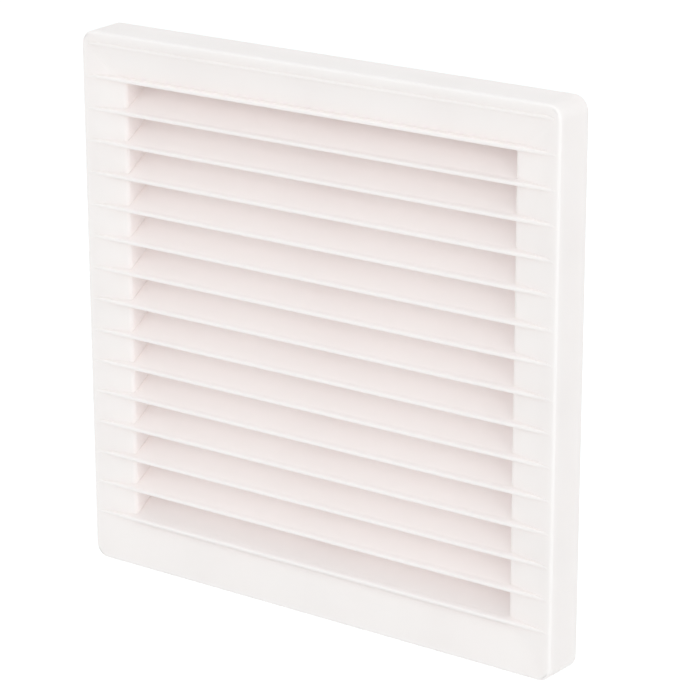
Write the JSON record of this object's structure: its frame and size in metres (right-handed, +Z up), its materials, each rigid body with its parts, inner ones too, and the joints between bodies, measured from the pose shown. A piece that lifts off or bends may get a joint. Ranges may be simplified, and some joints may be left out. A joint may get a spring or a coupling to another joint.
{
  "type": "ventilation grille",
  "caption": "Square wall ventilation grille with fixed sloping louvres in a dished face, a deep rounded rim and a shallow insert collar behind, moulded in white plastic.",
  "frame": {"origin": "centre of the insert collar's mouth in the wall plane", "axes": "+Z up, +X to the right seen from the room, the louvres face -Y and the collar goes into the wall along +Y"},
  "size_m": [0.186, 0.027, 0.186],
  "materials": {
    "white_abs": "satin moulded ABS, warm white"
  },
  "bodies": {
    "root": {"louvre_grille": "white_abs"}
  },
  "joints": []
}
